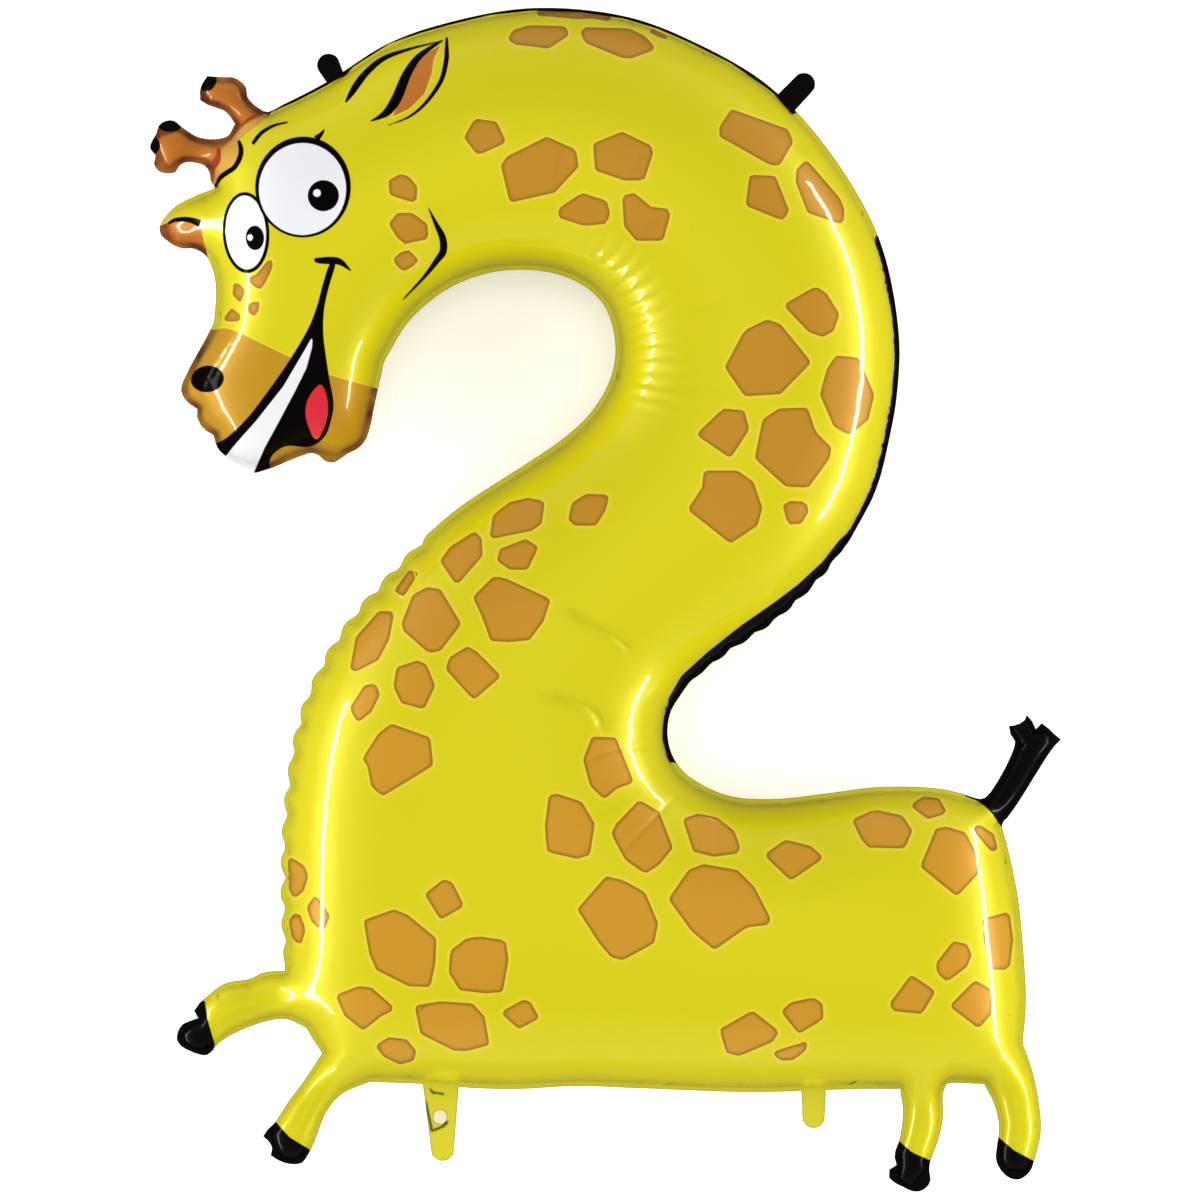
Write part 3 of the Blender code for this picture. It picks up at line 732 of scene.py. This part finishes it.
# A whole blown-up sheet as a bmesh
def blownSheet(node, side):
    front = side > 0
    sheet = flatSheet(node, side)
    welded = sheet.faces.layers.int["welded"]
    weldLines = flatLines(e for e in sheet.edges if isWeldLine(e, welded) or e.is_boundary)
    plain = blackEnds + tuple(brown.values()) + patches["body"]
    lines = creases if front else ()
    trees = [(edgeTree(weldLines, False), film["weldSpacing"])]
    if front:
        plain += patches["face"] + hornRoots
        shapes = [face[name] for name in face if name != "strokes"]
        trees += [
            (printTree(plain), film["frontSpacing"]),
            (printTree(shapes), film["faceSpacing"]),
            (printTree(face["strokes"] + paintedHornFoldShade + valveFoldShadows), film["strokeSpacing"]),
            (edgeTree([toMetres(smoothLine(c[0])) for c in lines], False),
             film["creaseSpacing"]),
        ]
    else:
        trees.append((printTree(plain), film["backSpacing"]))
    refine(sheet, trees, film["frontWidest" if front else "backWidest"])

    sheet.verts.index_update()
    points = flatPoints(sheet)
    triangles = np.array([[v.index for v in f.verts] for f in sheet.faces])
    onWeld = np.array([bool(f[welded]) for f in sheet.faces])
    held = np.zeros(len(points), bool)
    held[triangles[onWeld].ravel()] = True
    boundary = np.array([v.is_boundary for v in sheet.verts])
    held |= boundary
    sag = sagOf(points, triangles, held)
    height = np.sqrt(2 * sag)
    blown = triangles[~onWeld]
    steepness = slopeOf(points, blown, sag, 4)

    weldTree = edgeTree(flatLines(e for e in sheet.edges if isWeldLine(e, welded)), False)
    weldAway = np.where(held, -1, 1) * nearestIn(weldTree, points)
    rim, rimPoints, rimAlong, total = rimOf(sheet)
    depth = foldDepth(points, rimPoints, rimAlong, total, np.maximum(weldAway, 0), lines)
    depth = np.minimum(depth, folds["deepest"] * height)
    # the way the film faces, from the sag and the folds themselves
    level = height.copy()
    facing = height[:, None] * slopeOf(points, blown, depth, 1) - steepness
    height = np.where(held, 0, height - depth)
    if not front:
        # the underside lies flat on the floor, with an eased edge
        most = film["seamHeight"] - film["lift"]
        over = np.clip((height - most) / film["easing"], -60, 60)
        facing /= 1 + np.exp(over)[:, None]
        eased = most - film["easing"] * np.log1p(np.exp(-over))
        height = np.where(over > -6, eased, height)
        height = np.where(held, 0, height)
    facing = np.column_stack((facing, side * level))
    length = np.linalg.norm(facing, axis=1)
    facing[length < 1e-9] = (0, 0, side)
    facing /= np.linalg.norm(facing, axis=1)[:, None]

    layers = printOn(points, front)
    if not front:
        # both sheets share the points of the rim, which keep the front's print
        for name, values in printOn(points[boundary], True).items():
            layers[name][boundary] = values
    layers["weld"] = weldAway
    rimTree = edgeTree(flatLines(e for e in sheet.edges if e.is_boundary), False)
    layers["rim"] = nearestIn(rimTree, points)
    stored = {name: sheet.verts.layers.float.new(name) for name in sorted(layers)}
    towards = sheet.verts.layers.float_vector.new("facing")
    sheet.verts.ensure_lookup_table()
    for index, vert in enumerate(sheet.verts):
        vert.co.z = film["seamHeight"] + side * (film["lift"] + height[index])
        vert[towards] = facing[index]
        for name, layer in stored.items():
            vert[layer] = layers[name][index]
    for vert in rimOf(sheet)[0]:
        vert.co.z = film["seamHeight"]
    return sheet


# Corner normals: the welded edge faces straight up or down, the film faces the
# way that its sag gives
def setNormals(mesh):
    facing = np.zeros(3 * len(mesh.vertices))
    mesh.attributes["facing"].data.foreach_get("vector", facing)
    facing = facing.reshape(-1, 3)
    welded = np.zeros(len(mesh.polygons), np.int32)
    mesh.attributes["welded"].data.foreach_get("value", welded)
    corner = np.zeros(len(mesh.loops), np.int32)
    mesh.loops.foreach_get("vertex_index", corner)
    flat = np.zeros(3 * len(mesh.polygons))
    mesh.polygon_normals.foreach_get("vector", flat)
    flat = np.repeat(flat.reshape(-1, 3), 3, axis=0)
    onWeld = np.repeat(welded.astype(bool), 3)
    up = np.column_stack((np.zeros(len(corner)), np.zeros(len(corner)), np.sign(flat[:, 2])))
    normals = np.where(onWeld[:, None], up, facing[corner])
    normals[np.abs(normals).sum(axis=1) < 1e-9] = (0, 0, 1)
    mesh.normals_split_custom_set(normals.tolist())
    mesh.attributes.remove(mesh.attributes["facing"])
    mesh.attributes.remove(mesh.attributes["welded"])


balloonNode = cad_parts["foil_balloon"]
filmMesh = bpy.data.meshes.new("printedFilm")
both = bmesh.new()
for side in (1, -1):
    print("sheet", "front" if side > 0 else "back")
    sheet = blownSheet(balloonNode, side)
    part = bpy.data.meshes.new("sheet")
    sheet.to_mesh(part)
    sheet.free()
    both.from_mesh(part)
    bpy.data.meshes.remove(part)
bmesh.ops.remove_doubles(both, verts=both.verts, dist=2e-6)
# where the two rims are split in different places: slivers with two free
# edges go, and slits are filled
slivers = [f for f in both.faces if sum(e.is_boundary for e in f.edges) == 2]
bmesh.ops.delete(both, geom=slivers, context="FACES")
holeAt = Vector((*toMetres((film["fillingHole"],))[0], film["seamHeight"]))
slits = [e for e in both.edges
         if e.is_boundary and (e.verts[0].co - holeAt).length > film["holeReach"]]
bmesh.ops.holes_fill(both, edges=slits, sides=0)
broad = [f for f in both.faces if len(f.verts) > 3]
bmesh.ops.triangulate(both, faces=broad)
bmesh.ops.recalc_face_normals(both, faces=both.faces)
for facet in both.faces:
    facet.smooth = True
both.to_mesh(filmMesh)
openEdges = sum(1 for e in both.edges if e.is_boundary)
both.free()
setNormals(filmMesh)
print("film:", len(filmMesh.polygons), "triangles,", openEdges, "open edges")
balloon = bpy.data.objects.new("printedFilm", filmMesh)
bpy.context.scene.collection.objects.link(balloon)
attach(balloon, "root")
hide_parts("foil_balloon")


# Materials
def linear(hexColour):
    channels = [int(hexColour[k:k + 2], 16) / 255 for k in (1, 3, 5)]
    return [c / 12.92 if c <= 0.04045 else ((c + 0.055) / 1.055) ** 2.4
            for c in channels] + [1.0]


# Adds a node: its own settings, then its inputs as values or as links
def addNode(tree, kind, settings, inputs):
    node = tree.nodes.new(kind)
    for name, value in settings.items():
        setattr(node, name, value)
    for name, value in inputs.items():
        if isinstance(value, bpy.types.NodeSocket):
            tree.links.new(value, node.inputs[name])
        else:
            node.inputs[name].default_value = value
    return node


filmInks = {
    "yellow": "#C0B608",
    "patchUpper": "#AA791C",
    "patchLower": "#B6831E",
    "patchRim": "#8C640E",
    "halo": "#D0BC30",
    "horn": "#AA641A",
    "muzzle": "#AB7F14",
    # painted shade of the brown film where it turns down to the weld
    "brownEdgeShade": "#56200E",
    "hornRoot": "#BC9034",
    # painted shade: dark red where the film of the horns folds
    "hornFold": "#8E2C12",
    # painted shade of the folds round the filling hole
    "valveMark": "#46430A",
    "ink": "#060304",
    "white": "#D4D4D8",
    "tongue": "#C4202E",
    "seamPale": "#C6BC30",
    "seamGrey": "#6E6C3C",
}
filmLook = {
    "metallic": 0.14,
    "roughness": 0.32,
    "specular": 0.2,          # as a share of the lacquer
    "coat": 0.9,
    "coatOnInk": 0.06,
    "dullEnds": 0.8,          # of the black ends, where the ink of the face is 1
    "coatRoughness": 0.03,
    # an edge of the print: metres outside the drawn line, half width, strength
    "printEdge": (0.0, 0.00030, 1.0),
    "softEdge": (0.0, 0.00075, 1.0),
    "patchBody": (-0.0022, 0.0011, 1.0),    # inside its darker line
    "patchHalo": (0.0022, 0.0016, 0.8),     # lighter line round it
    "brownHalo": (0.0014, 0.0006, 0.8),
    # painted shade: the brown darkens along the weld where the film turns down
    "brownWeldShade": (0.0018, 0.0022, 1.0),     # darker brown along the weld
    "weldLine": (0.0002, 0.0010, 0.5),
    "rimLine": (0.0007, 0.0005, 0.7),
    "bandBlur": 0.0005,
    # where one colour turns to the next, in metres up the balloon
    "patchTurn": (-0.10, 0.10),
    "brownTurn": (0.24, 0.28),
    "mottleScale": 45.0,      # clouds of about 22 mm in the brown
    "mottleRange": (0.35, 0.65),
    "mottleLeast": 0.3,
}
wrinkles = {
    "middle": (510, 366),     # of the bay, in drawn units
    "count": 66,              # waves in a whole turn
    "stray": 0.03,
    "depth": 0.0005,
    # where they fade in and out: metres from the middle, then radians
    "inner": (0.104, 0.122),
    "outer": (0.154, 0.140),
    "first": (-0.40, -0.10),
    "last": (1.10, 0.80),
}


# Metallised PET film, gravure printed and lacquered: a soft metal sheen under
# a clear glossy skin that holds sharp streaks of light
def metallisedPetFilm():
    material = bpy.data.materials.new("metallisedPetFilm")
    material.use_nodes = True
    tree = material.node_tree
    shader = tree.nodes["Principled BSDF"]
    paint = {name: linear(code) for name, code in filmInks.items()}

    # How much of a layer of print shows, from the distance stored for its edge
    def shareOf(layer, outwards, blur, most):
        away = addNode(tree, "ShaderNodeAttribute", {"attribute_name": layer}, {})
        return addNode(tree, "ShaderNodeMapRange", {}, {
            "Value": away.outputs["Fac"], "From Min": outwards + blur,
            "From Max": outwards - blur, "To Max": most}).outputs["Result"]

    place = addNode(tree, "ShaderNodeTexCoord", {}, {}).outputs["Object"]
    placed = addNode(tree, "ShaderNodeSeparateXYZ", {}, {"Vector": place}).outputs

    # brown of the patches, with a darker line inside their edge
    low, high = filmLook["patchTurn"]
    upper = addNode(tree, "ShaderNodeMapRange", {}, {
        "Value": placed["Y"], "From Min": low, "From Max": high}).outputs["Result"]
    patchColour = addNode(tree, "ShaderNodeMix", {"data_type": "RGBA"}, {
        0: upper, 6: paint["patchLower"], 7: paint["patchUpper"]}).outputs[2]
    patchColour = addNode(tree, "ShaderNodeMix", {"data_type": "RGBA"}, {
        0: shareOf("patch", *filmLook["patchBody"]), 6: paint["patchRim"],
        7: patchColour}).outputs[2]

    # brown of the muzzle and the horns, with painted shade: darker in patches along the weld,
    # where the film turns down
    low, high = filmLook["brownTurn"]
    highUp = addNode(tree, "ShaderNodeMapRange", {}, {
        "Value": placed["Y"], "From Min": low, "From Max": high}).outputs["Result"]
    brownColour = addNode(tree, "ShaderNodeMix", {"data_type": "RGBA"}, {
        0: highUp, 6: paint["muzzle"], 7: paint["horn"]}).outputs[2]
    mottle = addNode(tree, "ShaderNodeTexNoise", {}, {
        "Vector": place, "Scale": filmLook["mottleScale"], "Detail": 2.0}).outputs["Fac"]
    low, high = filmLook["mottleRange"]
    paintedEdgeShade = addNode(tree, "ShaderNodeMapRange", {}, {
        "Value": mottle, "From Min": low, "From Max": high,
        "To Min": filmLook["mottleLeast"]}).outputs["Result"]
    paintedEdgeShade = addNode(tree, "ShaderNodeMath", {"operation": "MULTIPLY"}, {
        0: shareOf("weld", *filmLook["brownWeldShade"]), 1: paintedEdgeShade}).outputs["Value"]
    brownColour = addNode(tree, "ShaderNodeMix", {"data_type": "RGBA"}, {
        0: paintedEdgeShade, 6: brownColour, 7: paint["brownEdgeShade"]}).outputs[2]

    # the mane's band, up to one height on both sides of the weld
    overWeld = addNode(tree, "ShaderNodeMath", {"operation": "SUBTRACT"}, {
        0: placed["Z"], 1: film["seamHeight"]}).outputs["Value"]
    overWeld = addNode(tree, "ShaderNodeMath", {"operation": "ABSOLUTE"}, {
        0: overWeld}).outputs["Value"]
    nearWeld = addNode(tree, "ShaderNodeMapRange", {}, {
        "Value": overWeld, "From Min": dark["bandHeight"] + filmLook["bandBlur"],
        "From Max": dark["bandHeight"] - filmLook["bandBlur"]}).outputs["Result"]
    band = addNode(tree, "ShaderNodeMath", {"operation": "MULTIPLY"}, {
        0: shareOf("band", *filmLook["printEdge"]), 1: nearWeld}).outputs["Value"]

    colours = {"brown": brownColour}
    colours.update((name, paint[name]) for name in printedLayers if name in paint)
    colours.update(dict.fromkeys(("ends", "bigRing", "pupils"), paint["ink"]))
    colours.update(dict.fromkeys(("smallWhite", "bigWhite", "glints"), paint["white"]))
    dull = {"ends": filmLook["dullEnds"], "ink": 1.0, "bigRing": 1.0, "pupils": 1.0}
    layers = [
        ("weld", filmLook["weldLine"], paint["seamPale"]),
        ("patch", filmLook["patchHalo"], paint["halo"]),
        ("patch", filmLook["printEdge"], patchColour),
        ("rim", filmLook["rimLine"], paint["seamGrey"]),
        ("brown", filmLook["brownHalo"], paint["halo"]),
    ]
    for name in printedLayers:
        edge = filmLook["softEdge" if name == "valveMark" else "printEdge"]
        layers.append((name, edge, colours[name]))
    ground, inky = paint["yellow"], 0.0
    for name, edge, colour in layers:
        share = shareOf(name, *edge)
        if name == "ends":
            share = addNode(tree, "ShaderNodeMath", {"operation": "MAXIMUM"}, {
                0: share, 1: band}).outputs["Value"]
        ground = addNode(tree, "ShaderNodeMix", {"data_type": "RGBA"}, {
            0: share, 6: ground, 7: colour}).outputs[2]
        inky = addNode(tree, "ShaderNodeMix", {}, {
            0: share, 2: inky, 3: dull.get(name, 0.0)}).outputs[0]
    tree.links.new(ground, shader.inputs["Base Color"])

    shader.inputs["Metallic"].default_value = filmLook["metallic"]
    shader.inputs["Roughness"].default_value = filmLook["roughness"]
    shader.inputs["Coat Roughness"].default_value = filmLook["coatRoughness"]
    lacquer = addNode(tree, "ShaderNodeMapRange", {}, {
        "Value": inky, "To Min": filmLook["coat"],
        "To Max": filmLook["coatOnInk"]})
    specular = addNode(tree, "ShaderNodeMath", {"operation": "MULTIPLY"}, {
        0: lacquer.outputs["Result"], 1: filmLook["specular"]})
    tree.links.new(lacquer.outputs["Result"], shader.inputs["Coat Weight"])
    tree.links.new(specular.outputs["Value"], shader.inputs["Specular IOR Level"])

    # fine wrinkles that run out from the bay of the neck
    fromBay = addNode(tree, "ShaderNodeVectorMath", {"operation": "SUBTRACT"}, {
        0: place, 1: (*toMetres((wrinkles["middle"],))[0], 0)}).outputs["Vector"]
    flat = addNode(tree, "ShaderNodeVectorMath", {"operation": "MULTIPLY"}, {
        0: fromBay, 1: (1, 1, 0)}).outputs["Vector"]
    out = addNode(tree, "ShaderNodeVectorMath", {"operation": "LENGTH"}, {
        0: flat}).outputs["Value"]
    parts = addNode(tree, "ShaderNodeSeparateXYZ", {}, {"Vector": flat}).outputs
    angle = addNode(tree, "ShaderNodeMath", {"operation": "ARCTAN2"}, {
        0: parts["Y"], 1: parts["X"]}).outputs["Value"]
    stray = addNode(tree, "ShaderNodeMath", {"operation": "MULTIPLY_ADD"}, {
        0: mottle, 1: wrinkles["stray"], 2: angle}).outputs["Value"]
    turns = addNode(tree, "ShaderNodeMath", {"operation": "MULTIPLY"}, {
        0: stray, 1: wrinkles["count"]}).outputs["Value"]
    height = addNode(tree, "ShaderNodeMath", {"operation": "SINE"}, {
        0: turns}).outputs["Value"]
    for value, (near, full) in (
            (out, wrinkles["inner"]), (out, wrinkles["outer"]),
            (angle, wrinkles["first"]), (angle, wrinkles["last"])):
        fade = addNode(tree, "ShaderNodeMapRange", {}, {
            "Value": value, "From Min": near, "From Max": full}).outputs["Result"]
        height = addNode(tree, "ShaderNodeMath", {"operation": "MULTIPLY"}, {
            0: height, 1: fade}).outputs["Value"]
    bump = addNode(tree, "ShaderNodeBump", {}, {
        "Height": height, "Strength": 1.0, "Distance": wrinkles["depth"]})
    tree.links.new(bump.outputs["Normal"], shader.inputs["Normal"])
    tree.links.new(bump.outputs["Normal"], shader.inputs["Coat Normal"])
    return material


balloon.data.materials.append(metallisedPetFilm())
print("film printed")


sleeveLook = {
    "thin": "#C4B992",
    "thick": "#DED6B4",
    "cloudScale": 260.0,      # clouds of about 4 mm
    "bumpStrength": 0.4,
    "bumpHeight": 0.0008,
    "roughness": 0.32,
    "ior": 1.51,
    "letsIn": 0.15,
    "letsInRadius": (0.002, 0.002, 0.002),
}


# Blown polyethylene of the valve sleeve: milky, slightly shiny, lets light in
def blownPolyethylene():
    material = bpy.data.materials.new("blownPolyethylene")
    material.use_nodes = True
    tree = material.node_tree
    shader = tree.nodes["Principled BSDF"]
    place = addNode(tree, "ShaderNodeTexCoord", {}, {}).outputs["Object"]
    cloud = addNode(tree, "ShaderNodeTexNoise", {}, {
        "Vector": place, "Scale": sleeveLook["cloudScale"], "Detail": 2.0})
    milky = addNode(tree, "ShaderNodeMix", {"data_type": "RGBA"}, {
        0: cloud.outputs["Fac"], 6: linear(sleeveLook["thin"]), 7: linear(sleeveLook["thick"])})
    bump = addNode(tree, "ShaderNodeBump", {}, {
        "Height": cloud.outputs["Fac"], "Strength": sleeveLook["bumpStrength"],
        "Distance": sleeveLook["bumpHeight"]})
    tree.links.new(milky.outputs[2], shader.inputs["Base Color"])
    tree.links.new(bump.outputs["Normal"], shader.inputs["Normal"])
    shader.inputs["Roughness"].default_value = sleeveLook["roughness"]
    shader.inputs["IOR"].default_value = sleeveLook["ior"]
    shader.inputs["Subsurface Weight"].default_value = sleeveLook["letsIn"]
    shader.inputs["Subsurface Radius"].default_value = sleeveLook["letsInRadius"]
    return material


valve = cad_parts["filling_valve"]
valve.data.materials.clear()
valve.data.materials.append(blownPolyethylene())
print("valve dressed")

# Floor, light and camera
studio = {
    "floorSize": 30.0,
    "floorDrop": 0.0006,      # under the balloon, so that the two don't touch
    "floorColour": "#FFFFFF",
    "floorGlow": 0.25,
    "floorRoughness": 0.9,
    # strength of the world overhead and at the horizon, and how far up it turns
    "zenith": 0.20,
    "horizon": 0.40,
    "horizonTurn": (0.1, 0.8),
    "below": 0.15,            # share of it that is left under the horizon
    "belowTurn": (-0.15, 0.0),
    "overhead": {"place": (0, 0, 5.5), "turn": (0, 0), "width": 4.0, "length": 4.0,
                 "power": 138.0, "streaks": False},
    "rightPanel": {"place": (3.2, 0, 1.3), "turn": (0, 68), "width": 2.0, "length": 4.0,
                   "power": 142.0, "streaks": False},
    "leftPanel": {"place": (-3.2, 0, 1.3), "turn": (0, -68), "width": 2.0, "length": 4.0,
                  "power": 145.0, "streaks": False},
    "highPanel": {"place": (0, 3.2, 1.3), "turn": (-68, 0), "width": 4.0, "length": 2.0,
                  "power": 25.0, "streaks": False},
    "lowPanel": {"place": (0, -3.2, 1.3), "turn": (68, 0), "width": 4.0, "length": 2.0,
                 "power": 55.0, "streaks": False},
    "rightStrip": {"place": (2.5, 0.3, 0.72), "turn": (0, 76), "width": 0.24, "length": 3.4,
                   "power": 48.0, "streaks": True},
    "leftStrip": {"place": (-2.5, -0.6, 0.72), "turn": (0, -76), "width": 0.22, "length": 3.0,
                  "power": 36.0, "streaks": True},
    "cameraHeight": 24.0,     # over the plane of the weld: far off, with a long lens
    "sensor": 36.0,
}


def floor():
    ground = bmesh.new()
    bmesh.ops.create_grid(ground, x_segments=1, y_segments=1, size=studio["floorSize"] / 2)
    bmesh.ops.translate(ground, verts=ground.verts, vec=(0, 0, -studio["floorDrop"]))
    mesh = bpy.data.meshes.new("floor")
    ground.to_mesh(mesh)
    ground.free()
    plane = bpy.data.objects.new("floor", mesh)
    bpy.context.scene.collection.objects.link(plane)
    # opal acrylic of a photographer's lit table: white even in the shadows
    opal = bpy.data.materials.new("opalAcrylic")
    opal.use_nodes = True
    shader = opal.node_tree.nodes["Principled BSDF"]
    shader.inputs["Base Color"].default_value = linear(studio["floorColour"])
    shader.inputs["Roughness"].default_value = studio["floorRoughness"]
    shader.inputs["Emission Color"].default_value = linear(studio["floorColour"])
    shader.inputs["Emission Strength"].default_value = studio["floorGlow"]
    mesh.materials.append(opal)
    plane.visible_glossy = False


# A strip only shows as a streak on the film, the other lights only light it
def areaLight(name, values):
    data = bpy.data.lights.new(name, "AREA")
    data.shape = "RECTANGLE"
    data.size = values["width"]
    data.size_y = values["length"]
    data.energy = values["power"]
    light = bpy.data.objects.new(name, data)
    light.location = values["place"]
    light.rotation_euler = [math.radians(angle) for angle in (*values["turn"], 0)]
    light.visible_camera = False
    light.visible_diffuse = not values["streaks"]
    light.visible_glossy = values["streaks"]
    bpy.context.scene.collection.objects.link(light)


floor()
for name, values in studio.items():
    if isinstance(values, dict):
        areaLight(name, values)

# The world: dim overhead, bright low down all round
world = bpy.data.worlds.new("studio")
bpy.context.scene.world = world
world.use_nodes = True
direction = addNode(world.node_tree, "ShaderNodeTexCoord", {}, {}).outputs["Generated"]
upward = addNode(world.node_tree, "ShaderNodeSeparateXYZ", {}, {"Vector": direction})
low, high = studio["horizonTurn"]
strength = addNode(world.node_tree, "ShaderNodeMapRange", {}, {
    "Value": upward.outputs["Z"], "From Min": low, "From Max": high,
    "To Min": studio["horizon"], "To Max": studio["zenith"]}).outputs["Result"]
low, high = studio["belowTurn"]
below = addNode(world.node_tree, "ShaderNodeMapRange", {}, {
    "Value": upward.outputs["Z"], "From Min": low, "From Max": high,
    "To Min": studio["below"]}).outputs["Result"]
strength = addNode(world.node_tree, "ShaderNodeMath", {"operation": "MULTIPLY"}, {
    0: strength, 1: below}).outputs["Value"]
background = world.node_tree.nodes["Background"]
background.inputs["Color"].default_value = (1, 1, 1, 1)
world.node_tree.links.new(strength, background.inputs["Strength"])

cameraData = bpy.data.cameras.new("camera")
cameraData.sensor_width = studio["sensor"]
frameWidth = drawing["size"] * drawing["unit"]
cameraData.lens = studio["sensor"] * studio["cameraHeight"] / frameWidth
cameraData.clip_end = 100.0
camera = bpy.data.objects.new("camera", cameraData)
centre = toMetres(((drawing["size"] / 2, drawing["size"] / 2),))[0]
camera.location = (centre[0], centre[1], film["seamHeight"] + studio["cameraHeight"])
bpy.context.scene.collection.objects.link(camera)
bpy.context.scene.camera = camera
bpy.context.scene.view_settings.view_transform = "Standard"
print("studio set")
